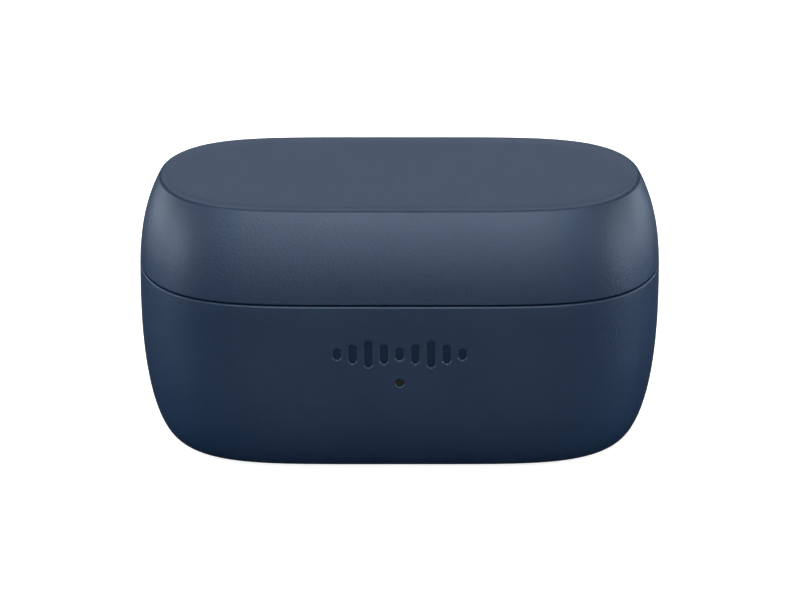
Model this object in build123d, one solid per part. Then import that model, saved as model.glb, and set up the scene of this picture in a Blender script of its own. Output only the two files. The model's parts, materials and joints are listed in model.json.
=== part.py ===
"""Charging case for a pair of wireless earbuds, in millimetres.

The case stands on its flat underside: +Z is up, the front (status light) faces -Y, the hinge and
the charging socket are at +Y, and the origin is the middle of the underside.
"""

from build123d import *
import math
import os

# ---- driving dimensions of the outer form -------------------------------------------------------
HALF_LENGTH = 32.075  # X, at the widest level
HALF_DEPTH = 14.235  # Y, at the widest level
HEIGHT = 34.6
WIDEST_Z = 19.0
TOP_HALF_LENGTH = 29.32
TOP_HALF_DEPTH = 11.06
FOOT_HALF_LENGTH = 27.64
FOOT_HALF_DEPTH = 10.32
END_POWER = 5.2  # the plan outline is |x/a|^END_POWER + |y/b|^2 = 1
SHOULDER = 0.86  # share of the half length where the outline turns from side to end
LID_POWER = 3.0  # how late the lid's wall leans in on its way up
FOOT_LENGTH_POWER = 2.3  # how the ends round into the underside
FOOT_DEPTH_POWER = 5.0  # how the front and back round into the underside
OUTLINE_POINTS = 15  # for each quarter

# ---- shells -------------------------------------------------------------------------------------
SEAM_Z = 23.4
SEAM_GAP = 0.22
WALL = 1.3
TOP_EDGE_RADIUS = 0.5
DISH_PROFILE = [(2.3, -0.12), (1.7, -0.115), (1.2, -0.085), (0.8, -0.035), (0.6, 0.01)]  # (inset, rise)
BASE_RIM_RADIUS = 0.22
LID_RIM_RADIUS = 0.11
BASE_TOP = SEAM_Z - SEAM_GAP / 2
LID_BOTTOM = SEAM_Z + SEAM_GAP / 2

# ---- hinge --------------------------------------------------------------------------------------
HINGE_Y = 13.2
HINGE_Z = SEAM_Z
KNUCKLE_RADIUS = 1.0
PIN_RADIUS = 0.4
PIN_PLAY = 0.03
LID_KNUCKLE_HALF = 7.9
KNUCKLE_GAP = 0.2
HINGE_HALF = 16.0
NOTCH = 1.22  # half height of the openings cut for the knuckles
RELIEF_RADIUS = 1.25
RELIEF_END = 21.8
PIN_BLIND_END = -15.2
SPRING_BORE_RADIUS = 0.67
SPRING_BORE_START = 5.5
SPRING_COIL_RADIUS = 0.53
SPRING_WIRE_RADIUS = 0.075
SPRING_PITCH = 0.2
SPRING_TURNS = 9
TANG_LENGTH = 0.55
TANG_SLOT_EDGE = 0.12

# ---- tray and lid liner -------------------------------------------------------------------------
DECK_TOP = 24.0
DECK_THICKNESS = 1.4
DECK_INSET = 1.55
SKIRT_DROP = 3.2
SKIRT_WALL = 0.9
HINGE_CLEARANCE_Y = HINGE_Y - KNUCKLE_RADIUS - 0.35
BOWL_CENTRE = (18.6, -0.3, 24.6)
BOWL_RADII = (10.5, 10.0, 8.5)
BOWL_WALL = 1.1
WELL_CENTRE = (9.9, 0.9)
WELL_TOP_RADIUS = 6.7
WELL_BOTTOM_RADIUS = 5.6
WELL_FLOOR = 12.7
WELL_WALL = 1.0
WELL_FILLET = 1.6
LINER_BOTTOM = 24.5
LINER_THICKNESS = 1.2
LINER_INSET = 1.42
DOME_CENTRE_X = 16.8
DOME_RADII = (12.4, 9.9, 7.3)
DOME_WALL = 0.9

# ---- closure and earbud magnets -----------------------------------------------------------------
CLOSURE_MAGNET = (8.0, 2.0, 3.0)
CLOSURE_MAGNET_Y = -10.55
TRAY_MAGNET_TOP = 22.2
LID_MAGNET_BOTTOM = 26.1
MAGNET_PLAY = 0.1
BUD_MAGNET_RADIUS = 2.5
BUD_MAGNET_THICKNESS = 1.6
BUD_MAGNET_PLACE = (19.0, 6.3, 13.4)

# ---- charging contacts --------------------------------------------------------------------------
CONTACT_X = 19.4
CONTACT_Y = -0.3
CONTACT_PITCH = 2.5
CONTACT_TRAVEL = 0.7
HOLDER_SIZE = (3.0, 5.4)
HOLDER_TOP = 16.75
HOLDER_FLANGE = (4.6, 7.0, 0.8)
CONTACT_BOARD_TOP = 12.6
CONTACT_BOARD_THICKNESS = 0.6
BARREL_RADIUS = 0.8
BARREL_BORE = 0.66
BARREL_MOUTH = 0.5
BARREL_TOP = 16.95
PLUNGER_TIP_RADIUS = 0.45
PLUNGER_SHOULDER_RADIUS = 0.62
PLUNGER_TOP = 17.95
SHOULDER_TOP = 16.7
SHOULDER_BOTTOM = 15.9
CONTACT_SPRING_RADIUS = 0.5
CONTACT_SPRING_WIRE = 0.06
CONTACT_SPRING_TURNS = 8
CONTACT_SPRING_BOTTOM = 13.2

# ---- board, battery, socket ---------------------------------------------------------------------
BOARD_BOTTOM = 9.4
BOARD_THICKNESS = 0.8
BOARD_TOP = BOARD_BOTTOM + BOARD_THICKNESS
BOARD_HALF_LENGTH = 24.0
BOARD_FRONT = -9.2
BOARD_BACK = 8.6
BOARD_TAB = (12.0, 11.9)
POST_PLACES = [(x, y) for x in (-21.2, 21.2) for y in (-6.6, 6.2)]
POST_RADIUS = 1.6
SCREW_RADIUS = 0.7
SCREW_HEAD_RADIUS = 1.35
SCREW_HEAD_HEIGHT = 0.75
SCREW_LENGTH = 4.0
BATTERY_SIZE = (34.0, 13.6, 5.0)
BATTERY_CENTRE = (0.0, -3.0)
PAD_THICKNESS = 0.5
LEAD_RADIUS = 0.4
LEAD_BEND = 2.1
SOCKET_Z = BOARD_BOTTOM - 1.63
SOCKET_SIZE = (8.94, 3.26, 7.3)
SOCKET_WALL = 0.3
SOCKET_MOUTH_Y = 12.6
PORT_SIZE = (9.7, 4.0)
LIGHT_Z = 13.0
LIGHT_RADIUS = 0.53
LIGHT_RECESS = 0.28

# ---- mark on the front --------------------------------------------------------------------------
MARK_Z = 16.9
MARK_BAR_WIDTH = 0.95
MARK_PITCH = 1.9
MARK_HEIGHTS = [1.5, 2.5, 3.6, 2.6, 1.7, 2.6, 3.6, 2.5, 1.5]
MARK_DEPTH = 0.32
FRONT_CHAMFER = 0.12  # round the edges of the bars and of the light hole

SIDES = {"left": -1, "right": 1}


# ---- outer form ---------------------------------------------------------------------------------
def half_length(z):
    """Half length of the outer form at height z."""
    if z >= WIDEST_Z:
        rise = (z - WIDEST_Z) / (HEIGHT - WIDEST_Z)
        return HALF_LENGTH - (HALF_LENGTH - TOP_HALF_LENGTH) * rise**LID_POWER
    drop = (WIDEST_Z - z) / WIDEST_Z
    reach = math.sqrt(max(0.0, 1 - drop**FOOT_LENGTH_POWER))
    return FOOT_HALF_LENGTH + (HALF_LENGTH - FOOT_HALF_LENGTH) * reach


def half_depth(z):
    """Half depth of the outer form at height z."""
    if z >= WIDEST_Z:
        rise = (z - WIDEST_Z) / (HEIGHT - WIDEST_Z)
        return HALF_DEPTH - (HALF_DEPTH - TOP_HALF_DEPTH) * rise**LID_POWER
    drop = (WIDEST_Z - z) / WIDEST_Z
    reach = math.sqrt(max(0.0, 1 - drop**FOOT_DEPTH_POWER))
    return FOOT_HALF_DEPTH + (HALF_DEPTH - FOOT_HALF_DEPTH) * reach


def on_outline(a, b, x, y):
    """The point of the outline beside (x, y): across from it on a side, along from it on an end."""
    if x <= SHOULDER * a:
        return x, b * math.sqrt(1 - (x / a) ** END_POWER)
    return a * (1 - (y / b) ** 2) ** (1 / END_POWER), y


def quarter_outline(a, b):
    """Points evenly spread along a quarter of the outline, from (0, b) to just before (a, 0)."""
    steps = 200
    turn = b * math.sqrt(1 - SHOULDER**END_POWER)
    fine = [on_outline(a, b, SHOULDER * a * k / steps, 0) for k in range(steps)]
    fine += [on_outline(a, b, a, turn * (1 - k / steps)) for k in range(steps + 1)]
    travelled = [0.0]
    for p, q in zip(fine, fine[1:]):
        travelled.append(travelled[-1] + math.dist(p, q))
    spacing = travelled[-1] / OUTLINE_POINTS
    points = []
    for n in range(OUTLINE_POINTS):
        k = next(i for i, length in enumerate(travelled) if length >= n * spacing)
        points.append(fine[k])
    return points


def outline(a, b, z):
    """The closed plan outline of half length a and half depth b, as a wire at height z."""
    right = quarter_outline(a, b) + [(a, 0.0)]
    half = right + [(x, -y) for x, y in reversed(right[:-1])]
    loop = half + [(-x, y) for x, y in reversed(half[1:-1])]
    return Wire([Edge.make_spline([Vector(x, y, z) for x, y in loop], periodic=True)])


def lofted(levels, a_at, b_at):
    """A solid through outlines at the given levels."""
    return Solid.make_loft([outline(a_at(z), b_at(z), z) for z in levels])


def base_levels(bottom, top):
    """Levels from bottom to top, closer together where the form rounds into the underside."""
    count = 10
    low = [bottom + (0.5 * (WIDEST_Z - bottom)) * (k / count) ** 2 for k in range(count + 1)]
    middle = low[-1]
    high = [middle + (top - middle) * k / 4 for k in range(1, 5)]
    return low + high


def even_levels(bottom, top, count):
    return [bottom + (top - bottom) * k / count for k in range(count + 1)]


def outer_form(bottom, top, inset=0.0):
    """The outer form between two levels of the lid or the base, drawn in by inset on all sides."""
    levels = base_levels(bottom, top) if bottom < WIDEST_Z else even_levels(bottom, top, 6)
    return lofted(levels, lambda z: half_length(z) - inset, lambda z: half_depth(z) - inset)


def base_cavity(inset, floor, top):
    """The hollow of the base, standing inset from the outer form, with its floor at floor."""

    def source(z):
        return (z - floor) * WIDEST_Z / (WIDEST_Z - floor) if z < WIDEST_Z else z

    return lofted(
        base_levels(floor, top),
        lambda z: half_length(source(z)) - inset,
        lambda z: half_depth(source(z)) - inset,
    )


def lid_cavity(inset, bottom, ceiling):
    """The hollow of the lid, standing inset from the outer form, with its ceiling at ceiling."""

    def source(z):
        return WIDEST_Z + (z - WIDEST_Z) * (HEIGHT - WIDEST_Z) / (ceiling - WIDEST_Z)

    return lofted(
        even_levels(bottom, ceiling, 6),
        lambda z: half_length(source(z)) - inset,
        lambda z: half_depth(source(z)) - inset,
    )


# ---- small helpers ------------------------------------------------------------------------------
def block(x, y, z):
    """A box from three (low, high) pairs."""
    size = [high - low for low, high in (x, y, z)]
    centre = [(low + high) / 2 for low, high in (x, y, z)]
    return Pos(*centre) * Box(*size)


def rounded_block(x, y, z, radius):
    """A box from three (low, high) pairs, with its upright edges rounded."""
    solid = block(x, y, z)
    return fillet(solid.edges().filter_by(Axis.Z), radius)


def post(x, y, low, high, radius):
    """An upright cylinder."""
    return Pos(x, y, (low + high) / 2) * Cylinder(radius, high - low)


def rod(low, high, radius, y=HINGE_Y, z=HINGE_Z):
    """A cylinder along X, on the hinge axis unless told otherwise."""
    middle = Pos((low + high) / 2, y, z)
    return middle * Rot(0, 90, 0) * Cylinder(radius, high - low)


def ellipsoid(centre, radii):
    """An ellipsoid with its axes along X, Y and Z."""
    return Pos(*centre) * scale(Sphere(1.0), by=radii)


def slot_prism(width, height, y_low, y_high, x, z):
    """A prism along Y with a round-ended section, width along X and height along Z."""
    radius = min(width, height) / 2
    section = Plane.XZ * Pos(x, z) * RectangleRounded(width, height, radius * 0.999)
    return Pos(0, y_high, 0) * extrude(section, y_high - y_low)


def ring_edges_at(solid, z, outer=True):
    """The longest edge that lies level at height z, or the next one in when outer is false."""
    level = [
        e
        for e in solid.edges()
        if abs(e.bounding_box().min.Z - z) < 0.01 and abs(e.bounding_box().max.Z - z) < 0.01
    ]
    level.sort(key=lambda e: e.length)
    return level[-1] if outer else level[-2]


def helix_spring(radius, wire_radius, pitch, turns):
    """A coil along +Z that starts at (radius, 0, 0)."""
    path = Edge.make_helix(pitch, pitch * turns, radius)
    start = path.position_at(0)
    section = Plane(origin=start, z_dir=path.tangent_at(0)) * Circle(wire_radius)
    return sweep(section, path=path, is_frenet=True)


# ---- hinge shapes shared by both shells ---------------------------------------------------------
def knuckle(low, high):
    """A barrel on the hinge axis, trimmed where the outer form curves in ahead of it."""
    barrel = rod(low, high, KNUCKLE_RADIUS)
    trim = outer_form(SEAM_Z - 4, SEAM_Z + 4, -0.05)
    return barrel & trim


def hinge_notch(low, high, z_low, z_high):
    """Cuts through the back wall beside a knuckle, between two heights around the hinge axis."""
    y = (HINGE_CLEARANCE_Y, HALF_DEPTH + 1)
    return block((low, high), y, (HINGE_Z + z_low, HINGE_Z + z_high))


# ---- shells -------------------------------------------------------------------------------------
def base_shell():
    """The lower casing, with its hinge knuckles, screw posts, socket opening and light hole."""
    shell = outer_form(0, BASE_TOP)
    shell = fillet(ring_edges_at(shell, BASE_TOP), BASE_RIM_RADIUS)
    shell -= base_cavity(WALL, WALL, BASE_TOP + 0.01)
    for side in SIDES.values():
        low, high = sorted((side * HINGE_HALF, side * RELIEF_END))
        relief = rod(low, high, RELIEF_RADIUS) & block(
            (low, high), (HINGE_Y - 0.1, HALF_DEPTH + 1), (BASE_TOP - 3, BASE_TOP + 3)
        )
        shell -= relief
        low, high = sorted((side * (LID_KNUCKLE_HALF + KNUCKLE_GAP), side * HINGE_HALF))
        shell += knuckle(low, high)
    inner = LID_KNUCKLE_HALF + KNUCKLE_GAP
    shell -= hinge_notch(-inner, inner, -NOTCH, NOTCH)
    shell -= rod(PIN_BLIND_END, HINGE_HALF + 1, PIN_RADIUS)
    tang_y = HINGE_Y - SPRING_COIL_RADIUS
    tang_hole = rod(inner - 0.1, inner + TANG_LENGTH, SPRING_WIRE_RADIUS + 0.03, tang_y)
    shell -= tang_hole
    for x, y in POST_PLACES:
        shell += post(x, y, WALL - 0.3, BOARD_BOTTOM, POST_RADIUS)
        shell -= post(x, y, BOARD_TOP - SCREW_LENGTH - 0.4, BOARD_BOTTOM + 0.1, SCREW_RADIUS - 0.12)
    shell -= slot_prism(*PORT_SIZE, HINGE_CLEARANCE_Y - 2, HALF_DEPTH + 1, 0, SOCKET_Z)
    light_hole = Pos(0, -HALF_DEPTH, LIGHT_Z) * Rot(90, 0, 0) * Cylinder(LIGHT_RADIUS, 6)
    shell -= light_hole
    shell -= slot_chamfer(2 * LIGHT_RADIUS, 2 * LIGHT_RADIUS + 0.002, 0, LIGHT_Z)
    shell -= front_mark()
    shell -= tray_snaps(0.12)
    return shell


def front_mark():
    """Sunk upright bars of different heights, like a sound level display."""
    cutters = []
    first = -MARK_PITCH * (len(MARK_HEIGHTS) - 1) / 2
    for k, height in enumerate(MARK_HEIGHTS):
        x = first + MARK_PITCH * k
        y_low, y_high = -HALF_DEPTH - 1, -HALF_DEPTH + MARK_DEPTH
        cutters.append(slot_prism(MARK_BAR_WIDTH, height, y_low, y_high, x, MARK_Z))
        cutters.append(slot_chamfer(MARK_BAR_WIDTH, height, x, MARK_Z))
    return cutters


def slot_chamfer(width, height, x, z):
    """The tool that bevels the edge of a round-ended slot in the front wall."""
    sections = []
    for y, grow in ((-HALF_DEPTH - FRONT_CHAMFER, 2 * FRONT_CHAMFER), (-HALF_DEPTH + FRONT_CHAMFER, 0.0)):
        radius = (min(width, height) / 2 + grow) * 0.999
        outline_at = RectangleRounded(width + 2 * grow, height + 2 * grow, radius)
        sections.append(Plane.XZ * Pos(x, z, -y) * outline_at)
    return loft(sections, ruled=True)


def tray_snaps(play=0.0):
    """Ridges on the tray's skirt, or with some play the recesses that they click into."""
    ridges = []
    z = DECK_TOP - DECK_THICKNESS - 1.6
    for x in (-9.0, 9.0):
        for y in (-1, 1):
            reach = half_depth(z) - WALL + 0.25 + play
            low, high = sorted((y * (reach - 0.9), y * reach))
            ridges.append(
                block((x - 1.5 - play, x + 1.5 + play), (low, high), (z - 0.3 - play, z + 0.3 + play))
            )
    return ridges


def top_dish():
    """The tool that sinks the flat top a little below its smooth raised rim."""
    rings = [
        outline(TOP_HALF_LENGTH - inset, TOP_HALF_DEPTH - inset, HEIGHT + rise)
        for inset, rise in DISH_PROFILE
    ]
    return Solid.make_loft(rings)


def lid_shell():
    """The upper casing, with the middle knuckle of the hinge."""
    shell = outer_form(LID_BOTTOM, HEIGHT)
    shell = fillet(ring_edges_at(shell, HEIGHT), TOP_EDGE_RADIUS)
    shell = fillet(ring_edges_at(shell, LID_BOTTOM), LID_RIM_RADIUS)
    shell -= top_dish()
    shell -= lid_cavity(WALL, LID_BOTTOM - 0.01, HEIGHT - WALL)
    for side in SIDES.values():
        low, high = sorted((side * (LID_KNUCKLE_HALF), side * (HINGE_HALF + KNUCKLE_GAP)))
        shell -= hinge_notch(low, high, -NOTCH, NOTCH)
    shell += knuckle(-LID_KNUCKLE_HALF, LID_KNUCKLE_HALF)
    shell -= rod(-LID_KNUCKLE_HALF - 1, LID_KNUCKLE_HALF + 1, PIN_RADIUS + PIN_PLAY)
    shell -= rod(SPRING_BORE_START, LID_KNUCKLE_HALF + 1, SPRING_BORE_RADIUS)
    tang_start = SPRING_BORE_START - TANG_LENGTH
    swept_quarter = block(
        (tang_start, SPRING_BORE_START + 0.1),
        (HINGE_Y - 1, HINGE_Y + TANG_SLOT_EDGE),
        (HINGE_Z - 1, HINGE_Z + TANG_SLOT_EDGE),
    )
    shell -= rod(tang_start, SPRING_BORE_START + 0.1, SPRING_BORE_RADIUS) & swept_quarter
    return shell


# ---- tray ---------------------------------------------------------------------------------------
def bowl(side, grow=0.0):
    """The rounded hollow that an earbud's body lies in."""
    x, y, z = BOWL_CENTRE
    return ellipsoid((side * x, y, z), tuple(r + grow for r in BOWL_RADII))


def well(side, grow=0.0):
    """The deeper hollow for the ear tip, with a rounded floor."""
    x, y = WELL_CENTRE
    low, high = WELL_FLOOR - grow, DECK_TOP + 1
    cone = Cone(WELL_BOTTOM_RADIUS + grow, WELL_TOP_RADIUS + grow, high - low)
    floor_edge = cone.edges().sort_by(Axis.Z)[0]
    return Pos(side * x, y, (low + high) / 2) * fillet(floor_edge, WELL_FILLET + grow)


def magnet_cup(side, play):
    """The space of an earbud magnet under a bowl, grown by play."""
    x, y, z = BUD_MAGNET_PLACE
    return post(side * x, y, z - play, z + BUD_MAGNET_THICKNESS, BUD_MAGNET_RADIUS + play)


def earbud_tray():
    """The moulded inner tray: a raised deck, two earbud hollows, and sockets for what sits below."""
    deck = lofted(
        [DECK_TOP - DECK_THICKNESS, DECK_TOP],
        lambda z: half_length(SEAM_Z) - DECK_INSET,
        lambda z: half_depth(SEAM_Z) - DECK_INSET,
    )
    deck = fillet(ring_edges_at(deck, DECK_TOP), 0.4)
    skirt_bottom = DECK_TOP - DECK_THICKNESS - SKIRT_DROP
    skirt_levels = [skirt_bottom, DECK_TOP - DECK_THICKNESS + 0.2]
    skirt = lofted(
        skirt_levels,
        lambda z: half_length(SEAM_Z) - DECK_INSET,
        lambda z: half_depth(SEAM_Z) - DECK_INSET,
    ) - lofted(
        [skirt_levels[0] - 1, skirt_levels[1] + 1],
        lambda z: half_length(SEAM_Z) - DECK_INSET - SKIRT_WALL,
        lambda z: half_depth(SEAM_Z) - DECK_INSET - SKIRT_WALL,
    )
    tray = deck + skirt + tray_snaps()
    below_deck = block((-40, 40), (-20, 20), (0, DECK_TOP - 0.3))
    for side in SIDES.values():
        tray += bowl(side, BOWL_WALL) & below_deck
        tray += well(side, WELL_WALL) & below_deck
        tray += contact_collar(side)
        x, y, z = BUD_MAGNET_PLACE
        top = z + BUD_MAGNET_THICKNESS + 2.4
        tray += post(side * x, y, z, top, BUD_MAGNET_RADIUS + 0.8)
    width, depth, height = [s / 2 for s in CLOSURE_MAGNET]
    top = TRAY_MAGNET_TOP
    tray += block(
        (-width - 0.9, width + 0.9),
        (CLOSURE_MAGNET_Y - depth - 0.7, CLOSURE_MAGNET_Y + depth + 0.9),
        (top - 2 * height, DECK_TOP - 0.5),
    )
    tray -= block(
        (-width - MAGNET_PLAY, width + MAGNET_PLAY),
        (CLOSURE_MAGNET_Y - depth - MAGNET_PLAY, CLOSURE_MAGNET_Y + depth + MAGNET_PLAY),
        (top - 2 * height - 1, top),
    )
    for side in SIDES.values():
        tray -= bowl(side)
        tray -= well(side)
        tray -= contact_window(side)
        tray -= magnet_cup(side, 0.08)
    back = half_depth(SEAM_Z)
    reach = RELIEF_END + 1.0
    tray -= block((-reach, reach), (HINGE_CLEARANCE_Y, back), (HINGE_Z - 1.8, DECK_TOP + 1))
    return soften_hollows(tray)


def soften_hollows(tray):
    """Rounds the sharp edges where the hollows meet the deck and each other."""
    rim = [
        e
        for e in tray.edges()
        if abs(e.bounding_box().min.Z - DECK_TOP) < 0.01
        and abs(e.bounding_box().max.Z - DECK_TOP) < 0.01
        and abs(e.center().Y) < 11
        and e.length > 3
    ]
    inner = [e for e in rim if e.bounding_box().size.X < 26]
    return fillet(inner, 0.6) if inner else tray


def contact_collar(side):
    """The socket under a bowl that holds a contact block."""
    x, y = side * CONTACT_X, CONTACT_Y
    half_x, half_y = HOLDER_FLANGE[0] / 2, HOLDER_FLANGE[1] / 2
    z = CONTACT_BOARD_TOP + HOLDER_FLANGE[2]
    return block((x - half_x, x + half_x), (y - half_y, y + half_y), (z, z + 2.6))


def contact_window(side):
    """The opening in the bowl's floor that the contact block looks through."""
    x, y = side * CONTACT_X, CONTACT_Y
    half_x, half_y = HOLDER_SIZE[0] / 2 + 0.08, HOLDER_SIZE[1] / 2 + 0.08
    return rounded_block((x - half_x, x + half_x), (y - half_y, y + half_y), (12, 20), 0.7)


# ---- lid liner ----------------------------------------------------------------------------------
def lid_liner():
    """The inside panel of the lid, with two domed hollows over the earbuds."""
    sheet = lofted(
        [LINER_BOTTOM, LINER_BOTTOM + LINER_THICKNESS],
        lambda z: half_length(LINER_BOTTOM) - LINER_INSET,
        lambda z: half_depth(LINER_BOTTOM) - LINER_INSET,
    )
    above = block((-40, 40), (-20, 20), (LINER_BOTTOM + 0.3, HEIGHT - WALL - 0.15))
    room = lid_cavity(LINER_INSET, LINER_BOTTOM, HEIGHT - WALL - 0.15)
    liner = sheet & room
    for side in SIDES.values():
        liner += dome(side, DOME_WALL) & above & room
    width, depth, height = [s / 2 for s in CLOSURE_MAGNET]
    low = LID_MAGNET_BOTTOM
    liner += block(
        (-width - 0.9, width + 0.9),
        (CLOSURE_MAGNET_Y - depth - 0.6, CLOSURE_MAGNET_Y + depth + 0.9),
        (LINER_BOTTOM + 0.5, low + 2 * height),
    ) & room
    liner -= block(
        (-width - MAGNET_PLAY, width + MAGNET_PLAY),
        (CLOSURE_MAGNET_Y - depth - MAGNET_PLAY, CLOSURE_MAGNET_Y + depth + MAGNET_PLAY),
        (low, low + 2 * height + 1),
    )
    for side in SIDES.values():
        liner -= dome(side)
    reach = RELIEF_END + 1.0
    liner -= block((-reach, reach), (HINGE_CLEARANCE_Y, 20), (LINER_BOTTOM - 1, LINER_BOTTOM + 3))
    return liner


def dome(side, grow=0.0):
    """The hollow over one earbud, with its middle in the plane of the liner's face."""
    centre = (side * DOME_CENTRE_X, -0.3, LINER_BOTTOM)
    return ellipsoid(centre, tuple(r + grow for r in DOME_RADII))


# ---- hinge hardware -----------------------------------------------------------------------------
def hinge_pin():
    pin = rod(PIN_BLIND_END, HINGE_HALF - 0.1, PIN_RADIUS)
    return chamfer(pin.edges().filter_by(GeomType.CIRCLE), 0.08)


def hinge_spring():
    """A torsion spring round the pin, with a tang along the axis at each end."""
    coil = helix_spring(SPRING_COIL_RADIUS, SPRING_WIRE_RADIUS, SPRING_PITCH, SPRING_TURNS)
    length = SPRING_PITCH * SPRING_TURNS
    start = LID_KNUCKLE_HALF + KNUCKLE_GAP / 2 - length - 0.1
    turned = Pos(start, HINGE_Y, HINGE_Z) * Rot(0, 90, 0) * Rot(0, 0, -90) * coil
    tang_y = HINGE_Y - SPRING_COIL_RADIUS
    near = rod(SPRING_BORE_START - TANG_LENGTH + 0.05, start, SPRING_WIRE_RADIUS, tang_y)
    far_end = LID_KNUCKLE_HALF + KNUCKLE_GAP + TANG_LENGTH - 0.05
    far = rod(start + length, far_end, SPRING_WIRE_RADIUS, tang_y)
    return turned + near + far


# ---- magnets ------------------------------------------------------------------------------------
def closure_magnet(low):
    width, depth, height = CLOSURE_MAGNET
    magnet = Pos(0, CLOSURE_MAGNET_Y, low + height / 2) * Box(width, depth, height)
    return chamfer(magnet.edges().filter_by(Axis.X), 0.15)


def bud_magnet(side):
    x, y, z = BUD_MAGNET_PLACE
    magnet = post(side * x, y, z, z + BUD_MAGNET_THICKNESS, BUD_MAGNET_RADIUS)
    return chamfer(magnet.edges().filter_by(GeomType.CIRCLE), 0.15)


# ---- charging contacts --------------------------------------------------------------------------
def contact_places(side):
    """Where a side's two contacts stand: (x, y) of the front one, then of the rear one."""
    x = side * CONTACT_X
    return [(x, CONTACT_Y - CONTACT_PITCH / 2), (x, CONTACT_Y + CONTACT_PITCH / 2)]


def contact_block(side):
    """The insulating block that shows in the floor of the bowl and carries two contacts."""
    x, y = side * CONTACT_X, CONTACT_Y
    half_x, half_y = HOLDER_SIZE[0] / 2, HOLDER_SIZE[1] / 2
    body = rounded_block(
        (x - half_x, x + half_x), (y - half_y, y + half_y), (CONTACT_BOARD_TOP, HOLDER_TOP), 0.6
    )
    body = fillet(body.faces().sort_by(Axis.Z)[-1].edges(), 0.3)
    wide_x, wide_y, thick = HOLDER_FLANGE
    z = CONTACT_BOARD_TOP
    body += block((x - wide_x / 2, x + wide_x / 2), (y - wide_y / 2, y + wide_y / 2), (z, z + thick))
    for place in contact_places(side):
        body -= post(*place, z - 1, BARREL_TOP + 1, BARREL_RADIUS)
    return body


def contact_barrels(side):
    """The sleeves that the contacts slide in, with a narrowed mouth and a solder tail."""
    barrels = []
    for place in contact_places(side):
        barrel = post(*place, CONTACT_BOARD_TOP, BARREL_TOP, BARREL_RADIUS)
        barrel = chamfer(barrel.faces().sort_by(Axis.Z)[-1].edges(), 0.12)
        barrel -= post(*place, CONTACT_SPRING_BOTTOM - 0.1, SHOULDER_TOP + 0.02, BARREL_BORE)
        barrel -= post(*place, SHOULDER_TOP - 0.5, BARREL_TOP + 1, BARREL_MOUTH)
        tail_bottom = CONTACT_BOARD_TOP - CONTACT_BOARD_THICKNESS
        barrel += post(*place, tail_bottom, CONTACT_BOARD_TOP + 0.1, 0.3)
        barrels.append(barrel)
    return Compound(children=barrels)


def contact_pin(place):
    """A plunger: a domed tip on a shoulder that the sleeve's mouth holds in."""
    tip = post(*place, SHOULDER_TOP - 0.1, PLUNGER_TOP, PLUNGER_TIP_RADIUS)
    tip = fillet(tip.faces().sort_by(Axis.Z)[-1].edges(), PLUNGER_TIP_RADIUS * 0.8)
    return tip + post(*place, SHOULDER_BOTTOM, SHOULDER_TOP, PLUNGER_SHOULDER_RADIUS)


def contact_spring(place):
    length = SHOULDER_BOTTOM - CONTACT_SPRING_BOTTOM - 2 * CONTACT_SPRING_WIRE - 0.04
    pitch = length / CONTACT_SPRING_TURNS
    coil = helix_spring(CONTACT_SPRING_RADIUS, CONTACT_SPRING_WIRE, pitch, CONTACT_SPRING_TURNS)
    return Pos(*place, CONTACT_SPRING_BOTTOM + CONTACT_SPRING_WIRE + 0.02) * coil


def contact_board(side):
    """The little board under a contact block."""
    x, y = side * CONTACT_X, CONTACT_Y
    half_x, half_y = HOLDER_FLANGE[0] / 2, HOLDER_FLANGE[1] / 2
    low = CONTACT_BOARD_TOP - CONTACT_BOARD_THICKNESS
    board = rounded_block(
        (x - half_x, x + half_x), (y - half_y, y + half_y), (low, CONTACT_BOARD_TOP), 0.5
    )
    for place in contact_places(side):
        board -= post(*place, low - 1, CONTACT_BOARD_TOP + 1, 0.3)
    return board


def contact_flex(side):
    """A flat cable that leaves the contact board, turns under it and enters the main board's socket."""
    thick, width = 0.14, 2.6
    upper = CONTACT_BOARD_TOP - CONTACT_BOARD_THICKNESS - thick / 2
    lower = BOARD_TOP + 0.45
    bend = (upper - lower) / 2
    turn_x = CONTACT_X + 2.6
    inner = CONTACT_X - 1.2
    legs = [
        block((inner, turn_x), (-width / 2, width / 2), (z - thick / 2, z + thick / 2))
        for z in (upper, lower)
    ]
    legs[1] = block(
        (CONTACT_X + 0.35, turn_x), (-width / 2, width / 2), (lower - thick / 2, lower + thick / 2)
    )
    ring = Rot(90, 0, 0) * (Cylinder(bend + thick / 2, width) - Cylinder(bend - thick / 2, width + 1))
    half_ring = Pos(turn_x, 0, lower + bend) * ring & block(
        (turn_x, turn_x + 5), (-width, width), (lower - 1, upper + 1)
    )
    ribbon = legs[0] + half_ring + legs[1]
    y = CONTACT_Y
    return Pos(0, y, 0) * (ribbon if side > 0 else ribbon.mirror(Plane.YZ))


def flex_socket(side):
    """The low connector on the main board that a flat cable plugs into."""
    low, high = CONTACT_X - 1.6, CONTACT_X + 0.3
    x = sorted((side * low, side * high))
    body = block(x, (CONTACT_Y - 1.9, CONTACT_Y + 1.9), (BOARD_TOP, BOARD_TOP + 0.95))
    return chamfer(body.edges().filter_by(Axis.Y).sort_by(Axis.Z)[-2:], 0.15)


# ---- main board ---------------------------------------------------------------------------------
def main_board():
    """The circuit board, with a tab under the charging socket and four screw holes."""
    x = (-BOARD_HALF_LENGTH, BOARD_HALF_LENGTH)
    z = (BOARD_BOTTOM, BOARD_TOP)
    board = rounded_block(x, (BOARD_FRONT, BOARD_BACK), z, 2.0)
    half_tab = BOARD_TAB[0] / 2
    board += block((-half_tab, half_tab), (BOARD_BACK - 1, BOARD_TAB[1]), z)
    for place in POST_PLACES:
        board -= post(*place, BOARD_BOTTOM - 1, BOARD_TOP + 1, SCREW_RADIUS + 0.1)
    return board


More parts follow.
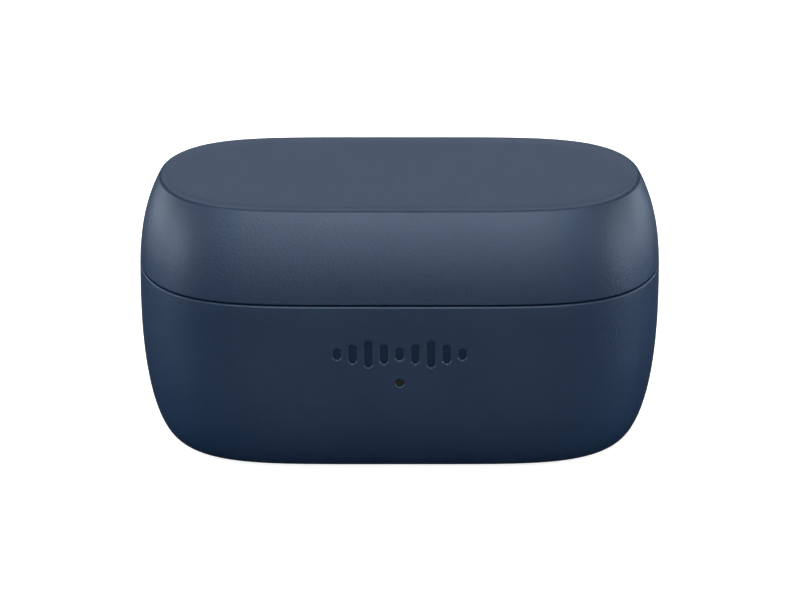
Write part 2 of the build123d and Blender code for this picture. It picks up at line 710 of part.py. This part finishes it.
def screw(x, y, seat, length):
    """A small pan-head screw with a cross recess, its head resting on seat."""
    head = post(x, y, seat, seat + SCREW_HEAD_HEIGHT, SCREW_HEAD_RADIUS)
    head = fillet(head.faces().sort_by(Axis.Z)[-1].edges(), 0.4)
    shank = post(x, y, seat - length, seat, SCREW_RADIUS - 0.15)
    recess_z = (seat + SCREW_HEAD_HEIGHT - 0.4, seat + SCREW_HEAD_HEIGHT + 1)
    solid = head + chamfer(shank.edges().sort_by(Axis.Z)[0], 0.3)
    solid -= block((x - 0.8, x + 0.8), (y - 0.14, y + 0.14), recess_z)
    return solid - block((x - 0.14, x + 0.14), (y - 0.8, y + 0.8), recess_z)


def board_screws():
    return Compound(children=[screw(x, y, BOARD_TOP, SCREW_LENGTH) for x, y in POST_PLACES])


def chip(x, y, size_x, size_y, height):
    """A component package on top of the main board."""
    body = block(
        (x - size_x / 2, x + size_x / 2),
        (y - size_y / 2, y + size_y / 2),
        (BOARD_TOP, BOARD_TOP + height),
    )
    return chamfer(body.faces().sort_by(Axis.Z)[-1].edges(), min(0.12, height / 4))


def chip_capacitors():
    """A row of small passive components beside the charge controller."""
    spots = [(-12.5 + 1.7 * k, 5.6) for k in range(6)] + [(6.0 + 1.7 * k, -6.3) for k in range(4)]
    return Compound(children=[chip(x, y, 1.0, 0.55, 0.5) for x, y in spots])


def light_pipe():
    """The clear piece that carries the status light from the board to the hole in the front."""
    wall = -(half_depth(LIGHT_Z) - WALL)
    tip_end = -(half_depth(LIGHT_Z) - LIGHT_RECESS)
    tip = Pos(0, (wall + tip_end) / 2, LIGHT_Z) * Rot(90, 0, 0) * Cylinder(
        LIGHT_RADIUS - 0.03, abs(tip_end - wall) + 0.2
    )
    flange = block((-2.0, 2.0), (wall + 0.02, wall + 0.9), (LIGHT_Z - 1.6, LIGHT_Z + 1.6))
    arm = block((-0.9, 0.9), (wall + 0.5, -6.9), (LIGHT_Z - 0.8, LIGHT_Z + 0.9))
    foot = block((-0.9, 0.9), (-8.7, -6.9), (BOARD_TOP + 0.85, LIGHT_Z + 0.9))
    mirror_cut = Pos(0, -6.9, LIGHT_Z + 0.9) * Rot(45, 0, 0) * Box(4, 1.7, 1.7)
    return tip + flange + arm + foot - mirror_cut


# ---- charging socket ----------------------------------------------------------------------------
def socket_shell():
    """The metal sleeve of the charging socket, closed at its inner end."""
    width, height, length = SOCKET_SIZE
    back = SOCKET_MOUTH_Y - length
    sleeve = slot_prism(width, height, back, SOCKET_MOUTH_Y, 0, SOCKET_Z)
    hollow = slot_prism(
        width - 2 * SOCKET_WALL, height - 2 * SOCKET_WALL, back + 0.3, SOCKET_MOUTH_Y + 1, 0, SOCKET_Z
    )
    return sleeve - hollow


def socket_tongue():
    """The insulating blade in the middle of the socket."""
    width, height, length = SOCKET_SIZE
    back = SOCKET_MOUTH_Y - length + 0.3
    root = slot_prism(
        width - 2 * SOCKET_WALL - 0.04, height - 2 * SOCKET_WALL - 0.04, back, back + 1.6, 0, SOCKET_Z
    )
    blade = block((-3.3, 3.3), (back + 1.5, SOCKET_MOUTH_Y - 0.9), (SOCKET_Z - 0.35, SOCKET_Z + 0.35))
    return root + fillet(blade.edges().filter_by(Axis.Z).sort_by(Axis.Y)[-2:], 0.5)


def socket_contacts():
    """Twelve plated strips, six on each face of the blade."""
    back = SOCKET_MOUTH_Y - SOCKET_SIZE[2] + 2.0
    strips = []
    for k in range(6):
        x = -2.25 + 0.9 * k
        for low in (SOCKET_Z + 0.35, SOCKET_Z - 0.4):
            strips.append(block((x - 0.2, x + 0.2), (back, SOCKET_MOUTH_Y - 1.5), (low, low + 0.05)))
    return Compound(children=strips)


# ---- battery ------------------------------------------------------------------------------------
def battery_bottom():
    return WALL + PAD_THICKNESS


def battery_pad():
    """Foam tape between the battery and the floor of the base."""
    x, y = BATTERY_CENTRE
    half_x, half_y = BATTERY_SIZE[0] / 2 - 3, BATTERY_SIZE[1] / 2 - 2
    return rounded_block(
        (x - half_x, x + half_x), (y - half_y, y + half_y), (WALL, battery_bottom()), 1.0
    )


def battery_cell():
    """The pouch cell."""
    length, width, height = BATTERY_SIZE
    x, y = BATTERY_CENTRE
    cell = Pos(x, y, battery_bottom() + height / 2) * Box(length, width, height)
    return fillet(cell.edges().filter_by(Axis.X), 1.3)


def battery_guard_board():
    """The cell's protection board, on the end that the leads come from."""
    x = -BATTERY_SIZE[0] / 2
    z = battery_bottom() + BATTERY_SIZE[2] / 2
    y = BATTERY_CENTRE[1]
    return block((x - 1.3, x), (y - 5.0, y + 5.0), (z - 1.6, z + 1.6))


def battery_lead(y):
    """A lead that leaves the cell, turns back on itself and enters the connector above."""
    low_z = battery_bottom() + BATTERY_SIZE[2] / 2 + 0.1
    high_z = low_z + 2 * LEAD_BEND
    start = -BATTERY_SIZE[0] / 2 - 1.3
    turn = start - 2.4
    path = Polyline((start, y, low_z), (turn, y, low_z)) + ThreePointArc(
        (turn, y, low_z), (turn - LEAD_BEND, y, low_z + LEAD_BEND), (turn, y, high_z)
    ) + Line((turn, y, high_z), (start - 1.0, y, high_z))
    section = Plane(origin=(start, y, low_z), z_dir=(-1, 0, 0)) * Circle(LEAD_RADIUS)
    return sweep(section, path=path)


def battery_connector():
    """The socket under the main board that takes the battery leads."""
    start = -BATTERY_SIZE[0] / 2 - 1.3 - 1.0
    return block((start, start + 3.4), (-5.9, -1.5), (BOARD_BOTTOM - 1.85, BOARD_BOTTOM))


# ---- everything ---------------------------------------------------------------------------------
def all_parts():
    parts = {
        "base_shell": base_shell(),
        "lid_shell": lid_shell(),
        "earbud_tray": earbud_tray(),
        "lid_liner": lid_liner(),
        "hinge_pin": hinge_pin(),
        "hinge_spring": hinge_spring(),
        "tray_closure_magnet": closure_magnet(TRAY_MAGNET_TOP - CLOSURE_MAGNET[2]),
        "lid_closure_magnet": closure_magnet(LID_MAGNET_BOTTOM),
        "main_board": main_board(),
        "board_screws": board_screws(),
        "charge_controller": chip(-7.5, 1.5, 4.0, 4.0, 0.85),
        "power_inductor": chip(0.5, 3.0, 3.2, 3.0, 1.2),
        "hall_sensor": chip(4.2, -7.3, 1.6, 1.6, 0.6),
        "status_led": chip(0.0, -7.8, 1.6, 0.9, 0.6),
        "chip_capacitors": chip_capacitors(),
        "light_pipe": light_pipe(),
        "charging_socket_shell": socket_shell(),
        "charging_socket_tongue": socket_tongue(),
        "charging_socket_contacts": socket_contacts(),
        "battery_pad": battery_pad(),
        "battery_cell": battery_cell(),
        "battery_guard_board": battery_guard_board(),
        "battery_lead_positive": battery_lead(-2.9),
        "battery_lead_negative": battery_lead(-4.4),
        "battery_connector": battery_connector(),
    }
    for name, side in SIDES.items():
        parts[f"earbud_magnet_{name}"] = bud_magnet(side)
        parts[f"contact_block_{name}"] = contact_block(side)
        parts[f"contact_barrels_{name}"] = contact_barrels(side)
        parts[f"contact_board_{name}"] = contact_board(side)
        parts[f"contact_flex_{name}"] = contact_flex(side)
        parts[f"flex_socket_{name}"] = flex_socket(side)
        for row, place in zip(("front", "rear"), contact_places(side)):
            parts[f"contact_pin_{name}_{row}"] = contact_pin(place)
            parts[f"contact_spring_{name}_{row}"] = contact_spring(place)
    return parts


os.makedirs("parts", exist_ok=True)
for node, shape in all_parts().items():
    export_step(shape, f"parts/{node}.step")
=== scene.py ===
import json
import math

import bpy
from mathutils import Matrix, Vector


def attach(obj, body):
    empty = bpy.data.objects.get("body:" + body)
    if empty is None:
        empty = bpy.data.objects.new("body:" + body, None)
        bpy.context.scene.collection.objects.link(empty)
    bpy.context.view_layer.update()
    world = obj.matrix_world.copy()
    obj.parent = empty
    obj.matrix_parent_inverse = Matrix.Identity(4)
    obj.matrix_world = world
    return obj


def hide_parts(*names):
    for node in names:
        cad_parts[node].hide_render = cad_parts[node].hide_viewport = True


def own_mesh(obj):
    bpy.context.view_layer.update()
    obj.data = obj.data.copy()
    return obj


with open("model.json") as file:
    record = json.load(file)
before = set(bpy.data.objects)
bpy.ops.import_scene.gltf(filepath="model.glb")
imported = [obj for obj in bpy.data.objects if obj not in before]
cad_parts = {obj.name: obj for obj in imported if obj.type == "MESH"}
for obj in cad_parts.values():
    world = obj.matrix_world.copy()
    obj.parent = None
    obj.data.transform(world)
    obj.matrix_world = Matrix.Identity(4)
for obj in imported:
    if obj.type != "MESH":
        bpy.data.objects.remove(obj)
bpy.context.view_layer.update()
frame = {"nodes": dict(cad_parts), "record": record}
MM = 0.001
WHITE = (1.0, 1.0, 1.0)

# ---- camera -------------------------------------------------------------------------------------
CAMERA_DISTANCE = 0.500
CAMERA_ELEVATION = math.radians(26.15)
CAMERA_TARGET = Vector((0.00004, 0.0, 0.0173))
CAMERA_LENS = 181.2
CAMERA_SENSOR = 36.0
CAMERA_CLIP = (0.01, 50.0)

# ---- lights: name, azimuth, elevation, half angles, radiance ------------------------------------
# Angles are in degrees, azimuth from the front. Each light of a pair stands on its own side.
# Matt lights show on matt surfaces only, and gloss lights in reflections only.
MATT_LIGHTS = [
    ("back_fill", 180, 30, (22, 20), 4.0),
    ("front_fill", 0, 36, (22, 20), 0.8),
    ("overhead_fill", 0, 90, (25, 25), 0.2),
]
MATT_PAIRS = [
    ("side_fill", 90, 25, (22, 20), 2.53),
    ("near_fill", 60, 10, (22, 20), 1.41),
]
GLOSS_LIGHTS = [
    ("front_strip", 0, 12, (20, 8), 5.12),
    ("front_box", 0, 44, (20, 8), 11.91),
    ("front_upper", 0, 57, (20, 6), 0.89),
    ("front_high", 0, 70, (20, 12), 0.6),
    ("back_strip", 180, 10, (20, 7), 0.45),
    ("overhead", 0, 90, (25, 10), 5.58),
    ("back_high", 180, 45, (20, 8), 4.26),
    ("back_top", 180, 65, (20, 8), 0.47),
]
GLOSS_PAIRS = [
    ("near_high", 75, 55, (12, 15), 0.55),
    ("near_low", 75, 0, (12, 10), 14.07),
    ("low_side", 112, 0, (20, 8), 6.73),
]
GLOSS_COLOUR = (0.88, 1.0, 1.094)
LIGHT_DISTANCE = 1.0
LIGHT_AIM = Vector((0, 0, 0.02))

# ---- floor --------------------------------------------------------------------------------------
FLOOR_HALF = 6.0
FLOOR_COLOURS = ((0.86, 0.86, 0.86), (0.88, 0.88, 0.88))
FLOOR_PATCHES_PER_MM = 0.02
FLOOR_ROUGH = 0.9
FLOOR_GLOW = 0.8

# ---- casing: linear colours, gloss, grain -------------------------------------------------------
NAVY = (0.0022, 0.0251, 0.0781)
NAVY_TRAY = (0.0022, 0.0170, 0.0530)
SHELL = {"rough": 0.50, "grain_mm": 0.035, "per_mm": 3.6}

# The floors of the sunk mark face the front and lie in a box given in millimetres.
MARK_SHADE_BOX = ((-8.8, -14.08, 14.8), (8.8, -13.7, 19.0))
MARK_SHADE_FACING = -0.9
# Painted shade: the mark's floors get a darker colour and a lower specular level than the casing.
MARK_PAINTED_SHADE = 0.85
MARK_PAINTED_SHADE_SPECULAR = 0.23

# ---- moulded plastic ----------------------------------------------------------------------------
PLASTIC_SPECULAR = 0.5
SPECK_ROUGHNESS = 0.65
SPECK_VARIATION = 0.10
CLOUD_PER_MM = 0.12
CLOUD_VARIATION = 0.03
CLOUD_ROUGH = 0.02

# ---- metal --------------------------------------------------------------------------------------
METAL_MARKS_PER_MM = 6.0
METAL_MARKS_DEEP_MM = 0.004
METAL_CLOUD_PER_MM = 0.5
METAL_SHADES = (0.92, 1.05)

# ---- smoked clear plastic -----------------------------------------------------------------------
SMOKED = ((0.026, 0.029, 0.028), (0.032, 0.035, 0.033))
SMOKED_CLOUD_PER_MM = 1.5
SMOKED_ROUGH = (0.10, 0.16)
SMOKED_BUMP_MM = 0.002

# ---- silicone and foam --------------------------------------------------------------------------
RUBBER_SPECKS_PER_MM = 8.0
RUBBER_SHADES = (0.9, 1.1)
RUBBER_ROUGH = (0.45, 0.6)
RUBBER_BUMP_MM = 0.004


# ---- node material helpers ----------------------------------------------------------------------
class Nodes:
    """Builds a node tree with short calls."""

    def __init__(self, name):
        self.material = bpy.data.materials.new(name)
        self.material.use_nodes = True
        self.tree = self.material.node_tree
        self.tree.nodes.clear()
        output = self.add("ShaderNodeOutputMaterial")
        self.shader = self.add("ShaderNodeBsdfPrincipled")
        self.link(self.shader.outputs["BSDF"], output.inputs["Surface"])
        self.where = self.add("ShaderNodeTexCoord").outputs["Object"]

    def add(self, kind, **settings):
        node = self.tree.nodes.new(kind)
        for key, value in settings.items():
            setattr(node, key, value)
        return node

    def link(self, source, target):
        self.tree.links.new(source, target)

    def feed(self, value, socket):
        """Gives a socket of the shader another node's result."""
        self.link(value, self.shader.inputs[socket])

    def set(self, **values):
        """Gives sockets of the shader one value each."""
        for key, value in values.items():
            self.shader.inputs[key.replace("_", " ")].default_value = value

    def scaled(self, factors):
        """The object's own coordinates, stretched by three factors."""
        mapping = self.add("ShaderNodeMapping")
        mapping.inputs["Scale"].default_value = factors
        self.link(self.where, mapping.inputs["Vector"])
        return mapping.outputs["Vector"]

    def noise(self, per_mm, detail=2.0, roughness=0.5, where=None):
        """Noise with about per_mm features in a millimetre."""
        node = self.add("ShaderNodeTexNoise")
        node.inputs["Scale"].default_value = per_mm / MM
        node.inputs["Detail"].default_value = detail
        node.inputs["Roughness"].default_value = roughness
        self.link(where or self.where, node.inputs["Vector"])
        return node.outputs["Fac"]

    def span(self, value, low, high, start=0.3, end=0.7):
        """Maps start..end, by default the usual range of noise, to low..high."""
        node = self.add("ShaderNodeMapRange")
        node.inputs["From Min"].default_value = start
        node.inputs["From Max"].default_value = end
        node.inputs["To Min"].default_value = low
        node.inputs["To Max"].default_value = high
        self.link(value, node.inputs["Value"])
        return node.outputs["Result"]

    def mix(self, factor, first, second):
        """A mix of two colours; each one, and the factor, is a value or another node's result."""
        node = self.add("ShaderNodeMix", data_type="RGBA")
        if isinstance(factor, float):
            node.inputs["Factor"].default_value = factor
        else:
            self.link(factor, node.inputs["Factor"])
        for socket, value in ((node.inputs["A"], first), (node.inputs["B"], second)):
            if isinstance(value, tuple):
                socket.default_value = (*value, 1.0)
            else:
                self.link(value, socket)
        return node.outputs["Result"]

    def varied(self, noise, colour, low, high):
        """The colour times low where the noise is low, and times high where it is high."""
        return self.mix(self.span(noise, 0.0, 1.0), shade(colour, low), shade(colour, high))

    def bump(self, height, distance_mm):
        node = self.add("ShaderNodeBump")
        node.inputs["Distance"].default_value = distance_mm * MM
        self.link(height, node.inputs["Height"])
        return node.outputs["Normal"]

    def compare(self, value, operation, limit):
        node = self.add("ShaderNodeMath", operation=operation)
        self.link(value, node.inputs[0])
        node.inputs[1].default_value = limit
        return node.outputs["Value"]

    def both(self, first, second):
        """The product of two results: 1 where both are 1."""
        node = self.add("ShaderNodeMath", operation="MULTIPLY")
        self.link(first, node.inputs[0])
        self.link(second, node.inputs[1])
        return node.outputs["Value"]

    def inside(self, low, high):
        """1 inside a box given by two corners in millimetres, in the row frame, and 0 outside."""
        split = self.add("ShaderNodeSeparateXYZ")
        self.link(self.where, split.inputs["Vector"])
        result = None
        for axis, start, end in zip("XYZ", low, high):
            for operation, limit in (("GREATER_THAN", start), ("LESS_THAN", end)):
                test = self.compare(split.outputs[axis], operation, limit * MM)
                result = test if result is None else self.both(result, test)
        return result

    def facing_below(self, axis, limit):
        """1 where the surface's own normal is below a limit along an axis, else 0."""
        split = self.add("ShaderNodeSeparateXYZ")
        self.link(self.add("ShaderNodeNewGeometry").outputs["Normal"], split.inputs["Vector"])
        return self.compare(split.outputs[axis], "LESS_THAN", limit)


def shade(colour, factor):
    return tuple(c * factor for c in colour)


def moulded(name, colour, rough, grain_mm=0.012, per_mm=5.0, sunk=None):
    """Fine matt moulded plastic: spark-eroded grain, faint cloudiness in colour and gloss.
    sunk is the box, in millimetres, that holds the floors of a sunk mark. These floors get painted
    shade: a darker colour and a lower specular level."""
    n = Nodes(name)
    cloud = n.noise(CLOUD_PER_MM, detail=3.0)
    speck = n.noise(per_mm, roughness=SPECK_ROUGHNESS)
    fine = n.varied(speck, colour, 1 - SPECK_VARIATION, 1 + SPECK_VARIATION)
    broad = n.varied(cloud, colour, 1 - CLOUD_VARIATION, 1 + CLOUD_VARIATION)
    surface = n.mix(0.5, fine, broad)
    n.set(Specular_IOR_Level=PLASTIC_SPECULAR)
    if sunk:
        # Painted shade on the mark's floors: a darker colour and a lower specular level.
        floors = n.both(n.inside(*sunk), n.facing_below("Y", MARK_SHADE_FACING))
        surface = n.mix(floors, surface, shade(colour, MARK_PAINTED_SHADE))
        specular = n.span(floors, PLASTIC_SPECULAR, MARK_PAINTED_SHADE_SPECULAR, start=0.0, end=1.0)
        n.feed(specular, "Specular IOR Level")
    n.feed(surface, "Base Color")
    n.feed(n.span(cloud, rough - CLOUD_ROUGH, rough + CLOUD_ROUGH), "Roughness")
    n.feed(n.bump(speck, grain_mm), "Normal")
    return n.material


def metal(name, colour, rough, stretch=(1, 1, 1), per_mm=METAL_MARKS_PER_MM, spread=0.08):
    """Metal with fine marks, drawn out along one axis when stretch says so."""
    n = Nodes(name)
    marks = n.noise(per_mm, detail=3.0, where=n.scaled(stretch))
    cloud = n.noise(METAL_CLOUD_PER_MM)
    n.feed(n.varied(cloud, colour, *METAL_SHADES), "Base Color")
    n.feed(n.span(marks, rough - spread, rough + spread), "Roughness")
    n.feed(n.bump(marks, METAL_MARKS_DEEP_MM), "Normal")
    n.set(Metallic=1.0)
    return n.material


def clear_plastic(name):
    """Smoked clear plastic, polished: nearly black, with a clear coat."""
    n = Nodes(name)
    cloud = n.noise(SMOKED_CLOUD_PER_MM)
    n.feed(n.mix(n.span(cloud, 0.0, 1.0), *SMOKED), "Base Color")
    n.feed(n.span(cloud, *SMOKED_ROUGH), "Roughness")
    n.feed(n.bump(cloud, SMOKED_BUMP_MM), "Normal")
    n.set(Coat_Weight=0.4, Coat_Roughness=0.08)
    return n.material


def rubbery(name, colour):
    """Silicone or foam: dull, with a fine even speckle."""
    n = Nodes(name)
    speck = n.noise(RUBBER_SPECKS_PER_MM)
    n.feed(n.varied(speck, colour, *RUBBER_SHADES), "Base Color")
    n.feed(n.span(speck, *RUBBER_ROUGH), "Roughness")
    n.feed(n.bump(speck, RUBBER_BUMP_MM), "Normal")
    return n.material


# ---- materials: one for each slot, and one for the casing with painted shade in its mark --------
MATERIALS = {
    "shell": moulded("navy_shell", NAVY, **SHELL),
    "tray": moulded("navy_tray", NAVY_TRAY, rough=0.45),
    "hinge_steel": metal("hinge_steel", (0.55, 0.55, 0.56), rough=0.3, stretch=(0.1, 1, 1)),
    "spring_steel": metal("spring_steel", (0.5, 0.5, 0.51), rough=0.3),
    "magnet_plating": metal("magnet_plating", (0.62, 0.6, 0.56), rough=0.28),
    "contact_plating": metal("contact_plating", (0.83, 0.56, 0.2), rough=0.2, spread=0.06),
    "contact_block": moulded("contact_black", (0.012, 0.012, 0.013), rough=0.5, grain_mm=0.006),
    "circuit_board": moulded("board_green", (0.008, 0.075, 0.03), rough=0.35, grain_mm=0.006),
    "chip_black": moulded("chip_black", (0.014, 0.014, 0.015), rough=0.55, grain_mm=0.006),
    "ferrite": moulded("ferrite", (0.05, 0.047, 0.045), rough=0.6),
    "capacitor": moulded("capacitor", (0.3, 0.19, 0.1), rough=0.5, grain_mm=0.004),
    "light_body": moulded("light_body", (0.75, 0.72, 0.62), rough=0.4, grain_mm=0.003),
    "clear_plastic": clear_plastic("smoked_clear"),
    "flat_cable": moulded("amber_film", (0.35, 0.13, 0.02), rough=0.3, grain_mm=0.002),
    "connector": moulded("ivory_plastic", (0.68, 0.64, 0.52), rough=0.45, grain_mm=0.004),
    "socket_steel": metal("socket_steel", (0.62, 0.62, 0.63), rough=0.42, stretch=(1, 0.1, 1)),
    "battery_foil": metal("battery_foil", (0.6, 0.61, 0.62), rough=0.38, per_mm=2.0),
    "foam": rubbery("foam_black", (0.02, 0.02, 0.02)),
    "lead_red": rubbery("lead_red", (0.4, 0.01, 0.008)),
    "lead_black": rubbery("lead_black", (0.015, 0.015, 0.015)),
    "screw_steel": metal("screw_steel", (0.3, 0.3, 0.31), rough=0.35),
}
NODE_MATERIALS = {"base_shell": moulded("navy_base", NAVY, sunk=MARK_SHADE_BOX, **SHELL)}

for subpart in frame["record"]["subparts"]:
    name, material_slot = subpart["node"], subpart["material_slot"]
    obj = frame["nodes"][name]
    obj.data.materials.clear()
    obj.data.materials.append(NODE_MATERIALS.get(name, MATERIALS[material_slot]))


# ---- contact springs as wire coils fixed to the base --------------------------------------------
COIL_TURNS = 8
COIL_STEPS = 28  # for each turn
WIRE_SIDES = 8
WIRE_RADIUS = 0.06 * MM


def coil_mesh(name, low, high):
    """A closed wire coil along Z that fills the box from corner low to corner high."""
    middle = (low + high) / 2
    radius = (high.x - low.x) / 2 - WIRE_RADIUS
    rise = high.z - low.z - 2 * WIRE_RADIUS
    slope = rise / (COIL_TURNS * math.tau * radius)
    steps = COIL_TURNS * COIL_STEPS
    vertices, faces = [], []
    for step in range(steps + 1):
        turn = math.tau * step / COIL_STEPS
        outward = Vector((math.cos(turn), math.sin(turn), 0))
        along = Vector((-math.sin(turn), math.cos(turn), slope))
        across = along.normalized().cross(outward)
        height = low.z + WIRE_RADIUS + rise * step / steps
        centre = Vector((middle.x, middle.y, height)) + radius * outward
        for side in range(WIRE_SIDES):
            angle = math.tau * side / WIRE_SIDES
            offset = math.cos(angle) * outward + math.sin(angle) * across
            vertices.append(centre + WIRE_RADIUS * offset)
    for step in range(steps):
        for side in range(WIRE_SIDES):
            a = step * WIRE_SIDES + side
            b = step * WIRE_SIDES + (side + 1) % WIRE_SIDES
            faces.append((a, b, b + WIRE_SIDES, a + WIRE_SIDES))
    faces.append(tuple(reversed(range(WIRE_SIDES))))
    faces.append(tuple(range(steps * WIRE_SIDES, (steps + 1) * WIRE_SIDES)))
    mesh = bpy.data.meshes.new(name)
    mesh.from_pydata(vertices, [], faces)
    mesh.polygons.foreach_set("use_smooth", [len(face) == 4 for face in faces])
    return mesh


def contact_coil(side, row):
    """The coil under one contact pin, in place of the CAD's fixed one, fixed to the base."""
    node = frame["nodes"][f"contact_spring_{side}_{row}"]
    corners = [node.matrix_world @ Vector(corner) for corner in node.bound_box]
    low = Vector([min(corner[k] for corner in corners) for k in range(3)])
    high = Vector([max(corner[k] for corner in corners) for k in range(3)])
    name = f"contact_coil_{side}_{row}"
    mesh = coil_mesh(name, low, high)
    mesh.materials.append(MATERIALS["spring_steel"])
    coil = bpy.data.objects.new(name, mesh)
    bpy.context.scene.collection.objects.link(coil)
    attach(coil, "base")
    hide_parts(node.name)
    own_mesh(coil)


for side in ("left", "right"):
    for row in ("front", "rear"):
        contact_coil(side, row)


# ---- floor, lights, camera ----------------------------------------------------------------------
def floor():
    """A white floor that glows for the camera alone and stays out of reflections."""
    n = Nodes("floor_white")
    patches = n.noise(FLOOR_PATCHES_PER_MM)
    n.feed(n.mix(n.span(patches, 0.0, 1.0), *FLOOR_COLOURS), "Base Color")
    n.set(Roughness=FLOOR_ROUGH, Specular_IOR_Level=0.0, Emission_Color=(*WHITE, 1.0))
    glow = n.add("ShaderNodeMath", operation="MULTIPLY")
    n.link(n.add("ShaderNodeLightPath").outputs["Is Camera Ray"], glow.inputs[0])
    glow.inputs[1].default_value = FLOOR_GLOW
    n.feed(glow.outputs["Value"], "Emission Strength")
    mesh = bpy.data.meshes.new("floor")
    corners = [(x * FLOOR_HALF, y * FLOOR_HALF, 0) for x, y in ((-1, -1), (1, -1), (1, 1), (-1, 1))]
    mesh.from_pydata(corners, [], [(0, 1, 2, 3)])
    mesh.materials.append(n.material)
    obj = bpy.data.objects.new("floor", mesh)
    bpy.context.scene.collection.objects.link(obj)
    obj.visible_glossy = False


def softbox(name, azimuth, elevation, half_angles, radiance, gloss):
    """A rectangular light that spans the given half angles, seen from the object at an azimuth
    from the front and an elevation, all in degrees."""
    az, el = math.radians(azimuth), math.radians(elevation)
    towards = Vector((math.sin(az) * math.cos(el), -math.cos(az) * math.cos(el), math.sin(el)))
    light = bpy.data.lights.new(name, "AREA")
    light.shape = "RECTANGLE"
    light.size, light.size_y = (
        2 * LIGHT_DISTANCE * math.tan(math.radians(half)) for half in half_angles
    )
    light.energy = radiance * math.pi * light.size * light.size_y
    light.color = GLOSS_COLOUR if gloss else WHITE
    obj = bpy.data.objects.new(name, light)
    obj.location = LIGHT_AIM + LIGHT_DISTANCE * towards
    obj.rotation_euler = (-towards).to_track_quat("-Z", "Y").to_euler()
    obj.visible_camera = False
    obj.visible_glossy = gloss
    obj.visible_diffuse = not gloss
    bpy.context.scene.collection.objects.link(obj)


def surroundings():
    """A white world that only the camera sees, and the softboxes."""
    world = bpy.data.worlds.new("studio")
    world.use_nodes = True
    tree = world.node_tree
    background = tree.nodes["Background"]
    rays = tree.nodes.new("ShaderNodeLightPath")
    tree.links.new(rays.outputs["Is Camera Ray"], background.inputs["Strength"])
    background.inputs["Color"].default_value = (*WHITE, 1.0)
    world.cycles_visibility.glossy = False
    bpy.context.scene.world = world
    for singles, pairs, gloss in (
        (MATT_LIGHTS, MATT_PAIRS, False),
        (GLOSS_LIGHTS, GLOSS_PAIRS, True),
    ):
        for light in singles:
            softbox(*light, gloss=gloss)
        for name, azimuth, *rest in pairs:
            softbox(name + "_left", -azimuth, *rest, gloss=gloss)
            softbox(name + "_right", azimuth, *rest, gloss=gloss)


def camera():
    data = bpy.data.cameras.new("camera")
    data.sensor_width = CAMERA_SENSOR
    data.lens = CAMERA_LENS
    data.clip_start, data.clip_end = CAMERA_CLIP
    obj = bpy.data.objects.new("camera", data)
    away = Vector((0, -math.cos(CAMERA_ELEVATION), math.sin(CAMERA_ELEVATION)))
    obj.location = CAMERA_TARGET + CAMERA_DISTANCE * away
    obj.rotation_euler = (-away).to_track_quat("-Z", "Y").to_euler()
    bpy.context.scene.collection.objects.link(obj)
    bpy.context.scene.camera = obj


floor()
surroundings()
camera()
bpy.context.scene.view_settings.view_transform = "Standard"
